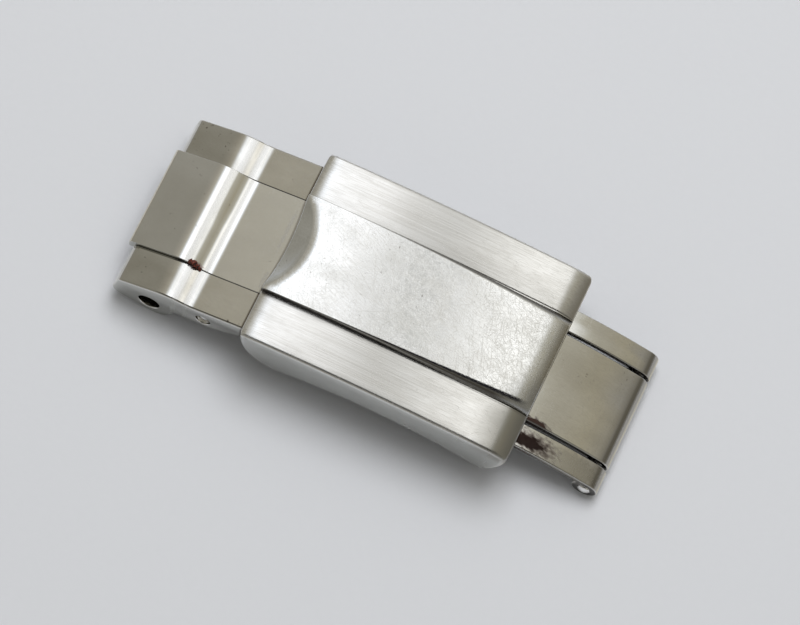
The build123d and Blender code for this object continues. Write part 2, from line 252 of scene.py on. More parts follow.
def shell_faces(rings, start):
    """Four-sided faces between neighbouring rings, whose points are numbered from start."""
    stations, points = rings.shape[:2]
    index = start + np.arange(stations * points).reshape(stations, points)
    beside = np.roll(index, -1, 1)
    return np.stack([index[:-1], beside[:-1], beside[1:], index[1:]], 2).reshape(-1, 4)


def end_cap(loops, starts):
    """Three-sided faces that close one end; the first loop is the outside, the rest are holes."""
    numbers = join([start + np.arange(len(loop)) for loop, start in zip(loops, starts)])
    return numbers[np.array(tessellate_polygon([loop.tolist() for loop in loops]))]


def add_object(name, data):
    """A new object with this data, linked to the scene."""
    made = bpy.data.objects.new(name, data)
    bpy.context.scene.collection.objects.link(made)
    return made


def make_piece(name, solids, body, material, stands_for):
    """One object from closed solids, each a list of ring arrays: the outside, then its holes."""
    points, quads, caps, edge = [], [], [], []
    count = 0
    for rings in solids:
        starts = []
        for ring in rings:
            starts.append(count)
            quads.append(shell_faces(ring, count))
            points.append(ring.reshape(-1, 3))
            # The edge number marks where the material paints a highlight on the soft edges.
            width = np.abs(ring[:, :, 1] - ring[:, :, 1].mean(0)).max(0)
            outwards = np.abs(ring[:, :, 1])
            edge_highlight = np.interp(outwards.max(0) - outwards, EDGE_HIGHLIGHT_BAND, [0, 1, 0])
            edge.append(np.where(width > 0, edge_highlight, 0).ravel())
            count += ring[..., 0].size
        caps.append(end_cap([ring[0] for ring in rings], starts))
        last = [start + ring[:-1, :, 0].size for ring, start in zip(rings, starts)]
        caps.append(end_cap([ring[-1] for ring in rings], last))
    quads, caps = join(quads), join(caps)
    mesh = bpy.data.meshes.new(name)
    mesh.from_pydata(join(points) * MM, [], quads.tolist() + caps.tolist())
    smooth = join([np.ones(len(quads), bool), np.zeros(len(caps), bool)])
    mesh.polygons.foreach_set("use_smooth", smooth)
    mesh.attributes.new("edge", "FLOAT", "POINT").data.foreach_set("value", join(edge))
    tidy_mesh(mesh)
    piece = add_object(name, mesh)
    mesh.materials.append(material)
    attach(piece, body)
    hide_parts(*stands_for)
    print(name, len(mesh.vertices), "points", len(mesh.polygons), "faces")
    return piece


def tidy_mesh(mesh):
    """Joins points that lie together, turns every face outwards and keeps real corners sharp."""
    work = bmesh.new()
    work.from_mesh(mesh)
    bmesh.ops.remove_doubles(work, verts=work.verts, dist=JOIN_MM * MM)
    bmesh.ops.dissolve_degenerate(work, edges=work.edges, dist=THIN_MM * MM)
    bmesh.ops.recalc_face_normals(work, faces=work.faces)
    work.to_mesh(mesh)
    work.free()
    mesh.set_sharp_from_angle(angle=math.radians(SHARP_DEGREES))


print("corners stay sharp above", SHARP_DEGREES, "degrees")

# %% [markdown]
# ## Steel, brushed and polished
# Steel has one colour, but two finishes. Brushed steel has long fine lines, so its light spreads
# across them. Polished steel mirrors the room, and years of use leave hairline scratches, faint
# haze and soft waves in it. Such wear could be painted on a picture, but noise worked out from
# the place on the piece needs no picture, has no seams and stays fine close up. The first tools
# are short names for the shader nodes that this takes.

# %% Small tools for shader nodes


def fill(tree, made, inputs):
    """Links each input of a node to a socket, or sets it to a value."""
    for key, value in inputs.items():
        if isinstance(value, bpy.types.NodeSocket):
            tree.links.new(value, made.inputs[key])
        else:
            made.inputs[key].default_value = value


def node(tree, kind, inputs=None, **settings):
    """A shader node with its inputs and settings."""
    made = tree.nodes.new("ShaderNode" + kind)
    for key, value in settings.items():
        setattr(made, key, value)
    fill(tree, made, inputs or {})
    return made


def new_material(name):
    """A material, its node tree and its main shader."""
    material = bpy.data.materials.new(name)
    material.use_nodes = True
    return material, material.node_tree, material.node_tree.nodes["Principled BSDF"]


def object_place(tree):
    """The place on the object, in metres."""
    return node(tree, "TexCoord").outputs["Object"]


def axes(tree, vector):
    """The sockets X, Y and Z of a vector."""
    return node(tree, "SeparateXYZ", {0: vector}).outputs


def pattern(tree, scale, turn=0.0, detail=2.0):
    """Noise on the object's own place. Scale is in features per millimetre along x, y and z."""
    rotation = (0, 0, math.radians(turn))
    turned = node(tree, "Mapping", {"Vector": object_place(tree), "Rotation": rotation})
    per_metre = [number / MM for number in scale]
    spread = node(tree, "Mapping", {"Vector": turned.outputs[0], "Scale": per_metre})
    inputs = {"Vector": spread.outputs[0], "Scale": 1.0, "Detail": detail}
    return node(tree, "TexNoise", inputs).outputs[0]


def span(tree, value, low, high, to_low=0.0, to_high=1.0):
    """The value's range from low to high spread over another range, and held at its ends."""
    inputs = {"Value": value, "From Min": low, "From Max": high, "To Min": to_low, "To Max": to_high}
    return node(tree, "MapRange", inputs).outputs[0]


def maths(tree, operation, *values):
    """One step of arithmetic on sockets or numbers."""
    return node(tree, "Math", dict(enumerate(values)), operation=operation).outputs[0]


def plus(tree, first, second):
    """The sum of two values."""
    return maths(tree, "ADD", first, second)


def times(tree, product, *others):
    """The product of all the values."""
    for other in others:
        product = maths(tree, "MULTIPLY", product, other)
    return product


def tint(tree, share, plain, other):
    """The plain colour, turned into the other one by share."""
    mix = node(tree, "Mix", {"Factor": share}, data_type="RGBA")
    colours = [socket for socket in mix.inputs if socket.type == "RGBA"]
    for socket, colour in zip(colours, (plain, other)):
        if isinstance(colour, bpy.types.NodeSocket):
            tree.links.new(colour, socket)
        else:
            socket.default_value = (*colour, 1.0)
    return next(socket for socket in mix.outputs if socket.type == "RGBA")


def raised(tree, height, depth_mm, normal=None):
    """A bump whose full height is a real depth in millimetres."""
    inputs = {"Height": height, "Distance": depth_mm * MM, "Strength": 1.0}
    if normal is not None:
        inputs["Normal"] = normal
    return node(tree, "Bump", inputs).outputs[0]


print("shader tools ready")

# %% [markdown]
# The steel shader. Stretched noise gives the brushed lines. Scratches are streaks of noise too:
# each layer is turned another way and cut off so high that only a few thin streaks are left.
# Under them lies a slow wave, which bends mirrored edges as hand polishing does. The soft edges
# read the number that was kept at each point, and get a painted highlight from it. Painted shade
# and painted light are also laid on in bands along x, on faces that look along y and along the
# cover's left end. One shader with many numbers is chosen over a shader for each finish, because
# all the parts are the same metal.

# %% The steel shader
WAVE_MM = 0.002
SCRATCHED_FROM, SCRATCHED_TO = -9.0, 7.0
SCRATCH_DARKNESS = 0.3
WEAR_ROUGHNESS, SCUFF_ROUGHNESS, STAIN_ROUGHNESS, END_ROUGHNESS = 0.05, 0.2, 0.25, 0.16
SIDE_SHADE_TURN = 0.22
STAIN_BITE = 0.3
LIP_SHADE_WIDTH = 0.28


def scratch_streaks(tree, turns, length, width, rarity):
    """The strongest of several layers of streaks, about length x width millimetres each."""
    total = None
    for turn in turns:
        streak = pattern(tree, (1 / length, 1 / width, 1 / width), turn, detail=0.0)
        layer = span(tree, streak, rarity, rarity + 0.05)
        total = layer if total is None else maths(tree, "MAXIMUM", total, layer)
    return total


def steel(
    name, colour, dull, roughness, lines=None, hairs=(), grain=0.0, specks=0.0, spread=0.0,
    stains=(), painted_shades=(), sheen_scuffs=(), painted_bands=(), worn_from=None, side_shade=None, side_shade_from=0.75, lip_shade=0.0,
):
    """Steel with brushed lines, hairline scratches, fine grain, specks and stains.

    Lengths are in millimetres. roughness: for clean and for hazy places. lines: their depth, and
    how much they darken the colour. hairs: turns in degrees, length, width, rarity and depth.
    grain: how much fine wear darkens the colour. specks: how much grime sits in the pits. stains:
    colour, place, size and strength. painted_shades: patches of painted shade, by colour, place,
    size and strength, not mottled. sheen_scuffs: place along x and half the width of bands that
    are rubbed dull and painted light, as a painted highlight. painted_bands: two places along x,
    and the colour reached between them: painted shade where darker, a painted reflection where
    lighter. worn_from: where along x the steel starts to get rougher. side_shade: the colour of
    painted shade on faces that look along y. side_shade_from: how far a face looks that way where
    this shade starts, from 0 to 1. lip_shade: how dark the painted shade line along the cover's
    left end is.
    """
    material, tree, shader = new_material(name)
    haze = span(tree, pattern(tree, (0.3, 0.45, 0.45), detail=4.0), 0.35, 0.7)
    relief = raised(tree, pattern(tree, (0.2, 0.2, 0.2), detail=1.0), WAVE_MM)
    shade = tint(tree, haze, colour, dull)
    rough = span(tree, haze, 0.0, 1.0, *roughness)
    if lines:
        line_depth, darkness = lines
        fine = pattern(tree, (0.09, 13.0, 13.0), detail=4.0)
        broad = pattern(tree, (0.06, 3.5, 3.5))
        both = plus(tree, times(tree, fine, 0.82), times(tree, broad, 0.18))
        shade = tint(tree, span(tree, both, 0.42, 0.62, 0.0, darkness), shade, STEEL_LINE)
        relief = raised(tree, fine, line_depth, relief)
    if grain:
        worn = pattern(tree, (1.1, 9.0, 9.0), 24.0, detail=6.0)
        patchy = span(tree, pattern(tree, (0.16, 0.28, 0.28)), 0.4, 0.62, 0.25, 1.0)
        worn = times(tree, span(tree, worn, 0.44, 0.66), patchy)
        shade = tint(tree, times(tree, worn, grain), shade, STEEL_LINE)
        rough = plus(tree, rough, times(tree, worn, WEAR_ROUGHNESS))
    along = axes(tree, object_place(tree))["X"]
    scuffed = span(tree, along, SCRATCHED_FROM * MM, SCRATCHED_TO * MM, 0.45, 1.0)
    for turns, length, width, rarity, depth in hairs:
        streaks = times(tree, scratch_streaks(tree, turns, length, width, rarity), scuffed)
        shade = tint(tree, times(tree, streaks, SCRATCH_DARKNESS), shade, STEEL_LINE)
        rough = plus(tree, rough, times(tree, streaks, WEAR_ROUGHNESS))
        relief = raised(tree, streaks, depth, relief)
    if specks:
        pits = span(tree, pattern(tree, (3.2, 3.2, 3.2), detail=3.0), 0.66, 0.72)
        where = span(tree, pattern(tree, (0.3, 0.3, 0.3)), 0.5, 0.62, 0.0, specks)
        shade = tint(tree, times(tree, pits, where), shade, GRIME_AND_GAP_SHADE)
    # Rubbed dull, and painted light as a highlight at the dip and crest.
    for middle, half_width in sheen_scuffs:
        away = maths(tree, "ABSOLUTE", maths(tree, "SUBTRACT", along, middle * MM))
        band = span(tree, away, 0.5 * half_width * MM, 1.4 * half_width * MM, 1.0, 0.0)
        shade = tint(tree, band, shade, STEEL_LIGHT)
        rough = plus(tree, rough, times(tree, band, SCUFF_ROUGHNESS))
    # Painted shade and painted reflection: bands along x turned darker for shade, lighter for a
    # reflection.
    for rim_start, rim_end, painted_band_colour in painted_bands:
        shade = tint(tree, span(tree, along, rim_start * MM, rim_end * MM), shade, painted_band_colour)
    if worn_from:
        wear = span(tree, along, worn_from * MM, cover_right * MM, 0.0, END_ROUGHNESS)
        rough = plus(tree, rough, wear)
    # Painted shade: faces that look along y are darkened, for the shaded floor and dark near side they
    # mirror.
    if side_shade:
        facing = axes(tree, node(tree, "NewGeometry").outputs["Normal"])["Y"]
        turned = span(tree, maths(tree, "ABSOLUTE", facing), side_shade_from, side_shade_from + SIDE_SHADE_TURN)
        shade = tint(tree, turned, shade, side_shade)
    # Painted shade: a dark line along the cover's left end, for the shaded gap under it.
    if lip_shade:
        shade = tint(tree, times(tree, lip_shade_line(tree), lip_shade), shade, GRIME_AND_GAP_SHADE)
    # Painted shade: soft patches darkened, without mottling.
    for spot_colour, *spot in painted_shades:
        shade = tint(tree, stain_or_shade(tree, *spot, bite=0.0), shade, spot_colour)
    for spot_colour, *spot in stains:
        cover = stain_or_shade(tree, *spot, bite=STAIN_BITE)
        shade = tint(tree, cover, shade, spot_colour)
        rough = plus(tree, rough, times(tree, cover, STAIN_ROUGHNESS))
    # Painted highlight: the soft edges are turned lighter by the edge number.
    edge = node(tree, "Attribute", attribute_name="edge").outputs["Fac"]
    shade = tint(tree, times(tree, edge, 0.5), shade, STEEL_LIGHT)
    fill(tree, shader, {"Metallic": 1.0, "Base Color": shade, "Roughness": rough, "Normal": relief})
    if spread:
        tangent = node(tree, "Tangent", direction_type="RADIAL", axis="X").outputs[0]
        fill(tree, shader, {"Anisotropic": spread, "Tangent": tangent})
    return material


def lip_shade_line(tree):
    """Painted shade under the cover's left end: 1 there, seen from above, and 0 farther from it than
    LIP_SHADE_WIDTH.

    The end lies at c + sqrt(r2 - y2), with y held at the scoop's half width.
    """
    here = axes(tree, object_place(tree))
    side = maths(tree, "MINIMUM", maths(tree, "ABSOLUTE", here["Y"]), SCOOP_HALF_WIDTH * MM)
    inside = maths(tree, "SUBTRACT", (lip_radius * MM) ** 2, times(tree, side, side))
    end = plus(tree, maths(tree, "SQRT", inside), lip_centre * MM)
    away = maths(tree, "ABSOLUTE", maths(tree, "SUBTRACT", here["X"], end))
    return span(tree, away, 0.55 * LIP_SHADE_WIDTH * MM, LIP_SHADE_WIDTH * MM, 1.0, 0.0)


def stain_or_shade(tree, place, size, strength, bite):
    """How much a stain or a patch of painted shade covers: its strength at its place, less away from it,
    mottled by noise.

    The way out from the place is divided by the size along each axis. The cover falls as that
    distance grows, and fine noise takes bites of that share out of it.
    """
    centre = tuple(number * MM for number in place)
    away = node(tree, "VectorMath", {0: object_place(tree), 1: centre}, operation="SUBTRACT")
    scale = tuple(1 / (number * MM) for number in size)
    scaled = node(tree, "VectorMath", {0: away.outputs[0], 1: scale}, operation="MULTIPLY")
    distance = node(tree, "VectorMath", {0: scaled.outputs[0]}, operation="LENGTH")
    mottle = pattern(tree, (2.0, 4.0, 4.0), 12.0, detail=6.0)
    bitten = plus(tree, distance.outputs["Value"], span(tree, mottle, 0.3, 0.7, -bite, bite))
    return span(tree, bitten, 0.6, 1.0, strength, 0.0)


print("steel shader ready, with waves of", WAVE_MM, "mm")

# %% [markdown]
# ## The finishes
# The side strips are brushed along the clasp. The raised middle was polished, and is scratched
# and pitted by years of sleeves and desks. The rows of the end piece are nearly mirrors, rubbed
# dull at the dip and crest, where a painted highlight lightens them, with a painted tan reflection
# at their outer ends. Faces that look along y, the right end rolls and the link's end carry painted
# shade, and a painted shade line runs along the cover's left end. The link is dirtier, with a
# brown stain beside the cover. Their numbers were matched to the photograph, one look at a time.

# %% Finishes of the steel
STEEL_LIGHT = (0.86, 0.855, 0.84)
STEEL_PLAIN = (0.74, 0.73, 0.70)
STEEL_DULL = (0.64, 0.625, 0.585)
STEEL_LINE = (0.50, 0.48, 0.435)
# Grime, and also the colour of the painted shade line along the cover's left end.
GRIME_AND_GAP_SHADE = (0.085, 0.06, 0.04)
RUST = (0.16, 0.035, 0.02)
# A painted tan reflection on the rows' rounded outer ends.
TAN_NOSE_REFLECTION = (-21.6, -21.85, (0.62, 0.54, 0.35))
MIRROR_HAIRS = ((5, -12, 80), 2.5, 0.04, 0.75, 0.0005)
brushed_steel = steel(
    "brushed_steel", STEEL_LIGHT, (0.81, 0.80, 0.775), (0.22, 0.28),
    lines=(0.0007, 0.34),
    hairs=[((12, -22, 31), 3.0, 0.045, 0.78, 0.0005)],
    specks=0.15,
    spread=0.85,
    # Painted shade: the near strip darkened towards the link end.
    painted_shades=[((0.40, 0.39, 0.36), (15.0, -7.0, 6.1), (4.6, 9.0, 1.6), 1.0)],
    # Painted shade on the strips' right end roll.
    painted_bands=[(13.3, 14.15, (0.62, 0.58, 0.50))],
    worn_from=12.2,
    # Painted shade on the walls.
    side_shade=(0.55, 0.555, 0.53),
)
worn_polish = steel(
    "worn_polish", (0.86, 0.865, 0.865), (0.74, 0.74, 0.725), (0.085, 0.14),
    lines=(0.0002, 0.08),
    hairs=[
        ((8, 37, -24, 71, -58), 3.2, 0.055, 0.70, 0.0012),
        ((18, -40, 62, 85), 0.9, 0.055, 0.69, 0.0014),
    ],
    grain=0.25,
    specks=0.6,
    # Painted shade: the middle's near side darkened towards the link end.
    painted_shades=[((0.52, 0.52, 0.51), (14.8, -4.6, 6.8), (4.0, 3.6, 2.4), 0.85)],
    # Painted shade on the middle's right end roll.
    painted_bands=[(13.3, 14.1, (0.50, 0.46, 0.37))],
    worn_from=11.6,
    # Painted shade: a dark line along the middle's rounded long edges.
    side_shade=(0.14, 0.13, 0.12),
    side_shade_from=0.4,
)
bright_polish = steel(
    "bright_polish", STEEL_PLAIN, STEEL_DULL, (0.06, 0.10),
    lines=(0.0001, 0.06),
    hairs=[MIRROR_HAIRS],
    specks=0.5,
    stains=[
        (RUST, (-15.9, -4.5, 4.9), (0.8, 0.4, 0.9), 0.9),
        (GRIME_AND_GAP_SHADE, (-10.3, -3.4, 5.4), (0.25, 1.1, 0.6), 0.3),
        (GRIME_AND_GAP_SHADE, (-10.4, 1.5, 5.4), (0.2, 2.2, 0.6), 0.25),
    ],
    # Painted highlight: light, dull bands at the crest and dip.
    sheen_scuffs=[(-16.62, 0.3), (-14.9, 0.22)],
    painted_bands=[TAN_NOSE_REFLECTION],
    # Painted shade on the sides.
    side_shade=(0.48, 0.48, 0.45),
    # Painted shade line along the cover's left end.
    lip_shade=0.85,
)
row_polish = steel(
    "row_polish", (0.68, 0.665, 0.625), (0.58, 0.56, 0.51), (0.06, 0.10),
    lines=(0.0001, 0.06),
    hairs=[MIRROR_HAIRS],
    grain=0.2,
    specks=0.8,
    # Painted highlight: light, dull bands at the crest and dip.
    sheen_scuffs=[(-16.25, 0.34), (-15.17, 0.26)],
    painted_bands=[TAN_NOSE_REFLECTION],
    # Painted shade on the sides.
    side_shade=(0.51, 0.51, 0.48),
    # Painted shade line along the cover's left end.
    lip_shade=0.85,
)
link_polish = steel(
    "link_polish", STEEL_PLAIN, STEEL_DULL, (0.08, 0.15),
    lines=(0.0002, 0.2),
    hairs=[((82, -68, 15), 1.5, 0.05, 0.74, 0.0005)],
    specks=0.4,
    stains=[
        ((0.34, 0.32, 0.27), (18.4, -5.9, 2.8), (4.6, 1.5, 2.4), 0.5),
        ((0.09, 0.05, 0.035), (15.1, -5.7, 3.5), (3.1, 1.1, 1.8), 0.6),
        ((0.03, 0.012, 0.009), (14.8, -5.75, 3.6), (2.2, 0.75, 1.4), 0.97),
        ((0.05, 0.02, 0.014), (14.9, -4.1, 3.9), (1.8, 0.5, 1.2), 0.95),
    ],
    # Painted shade towards the link's end knuckle, then a thin painted tan reflection.
    painted_bands=[(20.5, 21.4, (0.42, 0.40, 0.36)), (21.74, 21.86, (0.68, 0.62, 0.46))],
    # Painted shade: the strips' sides are nearly black.
    side_shade=(0.06, 0.055, 0.05),
)
blade_steel = steel("blade_steel", STEEL_PLAIN, STEEL_DULL, (0.28, 0.42), lines=(0.0014, 0.4), spread=0.4)
pin_steel = steel("pin_steel", STEEL_LIGHT, STEEL_PLAIN, (0.12, 0.2), specks=0.3)
print("finishes", [material.name for material in bpy.data.materials])

# %% [markdown]
# ## The cover's top line
# Seen from the side, the cover is slightly crowned and rolls down at both ends. That is three
# arcs that touch each other: a long one, and a short one at each end. A circle that leaves a
# point along a given way and passes through another point is found from
# radius = gap squared / (2 x gap across the way). A smooth curve through a few points would be
# quicker, but it wavers between them, and brushed steel shows every waver.

# %% Height of the cover's top line
LEFT_LEVEL = 6.45
RIGHT_LEVEL = 5.82
CROWN = 0.42
LEFT_ROLL, LEFT_ROLL_DROP = 1.3, 0.11
RIGHT_ROLL, RIGHT_ROLL_DROP = 1.8, 0.35
cover_length = cover_right - cover_left


def touching_circle(point, way, end):
    """Centre and radius of the circle that leaves point along way and passes through end."""
    across = np.array([way[1], -way[0]])
    gap = np.asarray(end, float) - point
    radius = (gap @ gap) / (2 * (gap @ across))
    return point + across * radius, abs(radius)


crown_start = (cover_left, LEFT_LEVEL + LEFT_ROLL_DROP)
crown_end = (cover_right, RIGHT_LEVEL + RIGHT_ROLL_DROP)
crown_centre, crown_radius, crown_way, crown_up, crown_reach = arc_of(crown_start, crown_end, CROWN)


def crown_point(share):
    """A point of the long arc and the way along it, share from 0 at the left to 1 at the right."""
    turn = (2 * share - 1) * crown_reach
    point = crown_centre + crown_radius * (math.sin(turn) * crown_way + math.cos(turn) * crown_up)
    return point, math.cos(turn) * crown_way - math.sin(turn) * crown_up


left_point, left_way = crown_point(LEFT_ROLL / cover_length)
right_point, right_way = crown_point(1 - RIGHT_ROLL / cover_length)
left_centre, left_radius = touching_circle(left_point, -left_way, (cover_left, LEFT_LEVEL))
right_centre, right_radius = touching_circle(right_point, right_way, (cover_right, RIGHT_LEVEL))


def top_height(x):
    """Height of the side strips at x: the upper point of the arc that covers x."""
    x = np.clip(x, cover_left, cover_right)
    centres = np.array([crown_centre, left_centre, right_centre])
    radii = np.array([crown_radius, left_radius, right_radius])
    which = np.where(x < left_point[0], 1, np.where(x > right_point[0], 2, 0))
    return centres[which, 1] + np.sqrt(radii[which] ** 2 - (x - centres[which, 0]) ** 2)


print("top line", np.round(top_height(np.array([cover_left, 0.0, cover_right])), 3))

# %% [markdown]
# ## The cover's roof and walls
# The real cover is pressed from one sheet: a roof between two side walls. The roof is a loop in
# the side view (top line, right end, underside, left end) repeated across, and the loop's height
# changes at the grooves and under the raised middle. The thumb lip is drawn in a little, so the
# left end of the loop depends on where it is across. The walls are soft-edged slabs. A bent plate
# with a Solidify modifier would also do, but it has no grooves and no bed for the middle.

# %% Roof and walls of the cover
ROOF = 0.7
WALL = 0.8
GROOVE = 0.11
PANEL_BED = 0.5
STRIP_BEND = 0.07
END_EDGE = 0.12
TOP_STEPS, TOP_GATHER = 110, 1.6
half_inside = half_cover - WALL


def left_end(y):
    """Where the cover starts at a place across: a shallow arc that draws the thumb lip in."""
    return lip_centre + np.sqrt(lip_radius**2 - np.minimum(np.abs(y), SCOOP_HALF_WIDTH) ** 2)


def end_steps(edge):
    """Distance in from an end and drop below the top, along a quarter circle of radius edge."""
    return edge * (1 - np.cos(QUARTER)), edge * (1 - np.sin(QUARTER))


def top_run(start):
    """x and drop of a top line from start to the cover's right end, with both ends rounded.

    Between the ends x grows with 1 - (1 - share) to the power TOP_GATHER, which gathers the
    points towards the right end, where the top line bends most.
    """
    start = np.asarray(start, float)[..., None]
    end = np.full_like(start, cover_right)
    inwards, drop = end_steps(END_EDGE)
    share = 1 - (1 - np.linspace(0, 1, TOP_STEPS)[1:-1]) ** TOP_GATHER
    middle = (start + END_EDGE) + (end - start - 2 * END_EDGE) * share
    x = join([start + inwards, middle, (end - inwards)[..., ::-1]], -1)
    fall = join([drop, np.zeros(len(share)), drop[::-1]])
    return x, np.broadcast_to(fall, x.shape)


def closed_loops(x, y, upper, under):
    """Loops at places across: the upper line from left to right, then the lower one back."""
    side = np.broadcast_to(y[:, None], x.shape)
    return join([np.stack([x, side, upper], 2), np.stack([x[:, ::-1], side, under], 2)], 1)


def roof_rings():
    """Loops of the roof at stations across, with the grooves and the bed of the raised middle.

    The upper line is the top line less the fall at that place across, and the lower line is the
    top line less the roof's thickness.
    """
    inner = half_panel + GROOVE
    bend_fall, bend_out = end_steps(STRIP_BEND)
    strip_y = [half_inside, (half_inside + inner) / 2, *(inner + bend_out)]
    half_y = np.array([*strip_y, inner, half_panel, half_panel])
    half_fall = np.array([0, 0, *bend_fall, GROOVE, GROOVE, PANEL_BED])
    across = np.linspace(half_panel, -half_panel, 41)[1:-1]
    y = join([half_y, across, -half_y[::-1]])
    fall = join([half_fall, np.full(len(across), PANEL_BED), half_fall[::-1]])[:, None]
    x, end_drop = top_run(left_end(y))
    upper = top_height(x) - fall - np.where(fall < PANEL_BED, end_drop, 0)
    return closed_loops(x, y, upper, top_height(x[:, ::-1]) - ROOF)


def wall_outline():
    """A wall seen from the side: top line, slanting toe, arched lower edge and round heel."""
    heel_radius, left_drop, right_drop = 3.5, 4.4, 4.37
    toe_start, toe_setback, toe_bulge, arch = 0.42, 1.75, 0.45, 1.35
    heel_centre = (cover_left + heel_radius, LEFT_LEVEL - left_drop + heel_radius)
    heel = on_circle(heel_centre, heel_radius, np.linspace(1.5 * math.pi, math.pi, 24))
    toe_top = (cover_right, RIGHT_LEVEL - toe_start)
    toe_bottom = (cover_right - toe_setback, RIGHT_LEVEL - right_drop)
    x, drop = top_run(cover_left)
    top = np.stack([x, top_height(x) - drop], 1)
    toe = bulged(toe_top, toe_bottom, toe_bulge, 16)
    lower = bulged(heel[0], toe_bottom, arch, 40)[::-1][1:-1]
    return join([top, toe, lower, heel])


far_wall = soft_slab(wall_outline(), half_inside + 0.001, half_cover, 0.0, (0.6, 0.32))
body_solids = [[roof_rings()], [far_wall], [far_wall * MIRROR]]
print("roof loops", body_solids[0][0].shape, "wall loops", far_wall.shape)
make_piece("cover_body", body_solids, "cover", brushed_steel, ["cover_shell"])

# %% [markdown]
# ## The raised middle and its thumb scoop
# The middle stands proud of the strips. Its long edges are rounded by hand, sharper at the thumb
# end and rounder towards the link. The scoop is where a ball was ground into the left end. The
# height is the lower of the two surfaces, blended over a short height so that the rim is crisp
# but not sharp. The points along x are shared out again at each place across, so that a row of
# them always lies on the rim, which is a circle seen from above. Cutting a real ball out with a
# Boolean modifier would be quicker, but its ragged row of faces would show along the rim.

# %% The polished middle of the cover
PANEL_RISE = 0.545
LEFT_EDGE, RIGHT_EDGE, EDGE_GROWTH = 0.06, 1.1, 1.9
LIP_EDGE = 0.09
SCOOP_LENGTH = 1.54
SCOOP_DEPTH = 0.84
RIM_BLEND = 0.2
SEAT_OVERLAP = 0.01
plan_radius = (SCOOP_HALF_WIDTH**2 + SCOOP_LENGTH**2) / (2 * SCOOP_LENGTH)
rim_centre = cover_left + SCOOP_LENGTH - plan_radius
ball_height = (plan_radius**2 - (plan_radius - SCOOP_LENGTH) ** 2 - SCOOP_DEPTH**2) / (2 * SCOOP_DEPTH)
ball_radius = math.hypot(ball_height, plan_radius)
ball_z = LEFT_LEVEL + PANEL_RISE + ball_height


def scoop_floor(x, y):
    """Height of the ball's lower side: its centre less the square root of r2 - dx2 - dy2."""
    inside = np.maximum(ball_radius**2 - (x - rim_centre) ** 2 - y**2, 1.0)
    return ball_z - np.sqrt(inside)


def lower_of(first, second):
    """The lower of two heights, with their crossing rounded over RIM_BLEND."""
    near = np.clip(0.5 + 0.5 * (second - first) / RIM_BLEND, 0, 1)
    return second * (1 - near) + first * near - RIM_BLEND * near * (1 - near)


def panel_rings():
    """Loops of the raised middle at stations across it.

    Its height is top line + rise - edge + sqrt(edge2 - beside2), where beside is how far a point
    lies into the rounded edge, and edge grows from the thumb end to the link end.
    """
    flat = np.linspace(half_panel - RIGHT_EDGE, -half_panel + RIGHT_EDGE, 81)
    bend_y = half_panel - RIGHT_EDGE * (1 - np.cos(np.linspace(0, math.pi / 2, 18)))[:-1]
    y = join([bend_y, flat, -bend_y[::-1]])
    start = left_end(y)
    rim = rim_centre + np.sqrt(np.maximum(plan_radius**2 - y**2, 0))
    rim = np.maximum(rim, start + 2 * LIP_EDGE)
    inwards, drop = end_steps(LIP_EDGE)
    share = 1 - (1 - np.linspace(0, 1, 31)[1:]) ** 1.7
    in_scoop = start[:, None] + inwards[-1] + (rim - start - inwards[-1])[:, None] * share
    gathered = 1 - (1 - np.linspace(0.03, 1, TOP_STEPS)[:-1]) ** TOP_GATHER
    onwards = join([[0.002, 0.004, 0.008, 0.015], gathered])
    beyond = rim[:, None] + (cover_right - END_EDGE - rim)[:, None] * onwards
    right_in, right_drop = end_steps(END_EDGE)
    right_x = cover_right - np.broadcast_to(right_in[::-1], (len(y), len(right_in)))
    x = join([start[:, None] + inwards, in_scoop, beyond, right_x], 1)
    end_drop = join([drop, np.zeros(len(share) + len(onwards)), right_drop[::-1]])
    edge = LEFT_EDGE + (RIGHT_EDGE - LEFT_EDGE) * ((x - x.min()) / cover_length) ** EDGE_GROWTH
    beside = np.clip(np.abs(y[:, None]) - (half_panel - edge), 0, edge)
    crown = top_height(x) + PANEL_RISE - edge + np.sqrt(edge**2 - beside**2)
    upper = lower_of(crown, scoop_floor(x, y[:, None])) - end_drop
    under = top_height(x[:, ::-1]) - PANEL_BED + SEAT_OVERLAP
    upper = np.maximum(upper, under[:, ::-1] + SEAT_OVERLAP)
    return closed_loops(x, y, upper, under)


print("scoop ball radius", round(ball_radius, 2), "rim radius in plan", round(plan_radius, 2))
make_piece("cover_middle", [[panel_rings()]], "cover", worn_polish, ["cover_centre_panel"])

# %% [markdown]
# ## The rigid end piece
# Three rows come out from under the cover. They dip, step up to a crest and run down to a lug.
# The outer rows have a small flat bevel along their outer top edge, and a bore for the bar that
# holds the first link. All is highly polished, so the dip and the crest each mirror the lamp as a
# white band. A band's place and width follow from the radius at that corner, so the outlines are
# corners with radii, which can be moved one at a time, and not a sculpted shape.

# %% Rows of the end piece
SEAT_LEVEL = LEFT_LEVEL - ROOF - 0.25
TUCK = 1.85
LUG_REACH = 8.35
LUG_HEIGHT = 1.75
BORE_RADIUS = 0.95
SEAM = 0.03


def row_outline():
    """An outer row from the side: tucked end, dip, crest, slope, nose, lug and hollow belly."""
    from_cover = [
        (TUCK, SEAT_LEVEL),
        (0.4, SEAT_LEVEL),
        (-5.0, 4.64),
        (-6.85, 4.865),
        (0.6 - piece_reach, 3.55),
        (0.05 - piece_reach, 0.95),
        (-LUG_REACH, 0),
        (-7.0, 0),
        (-6.0, 1.85),
        (-3.15, 1.95),
        (TUCK, SEAT_LEVEL - 1.2),
    ]
    radii = [0.3, 2.0, 4.4, 5.8, 0.6, 0.9, 1.75, 1.2, 0.6, 2.0, 0.3]
    return rounded_outline(np.array(from_cover) + (cover_left, 0), radii)


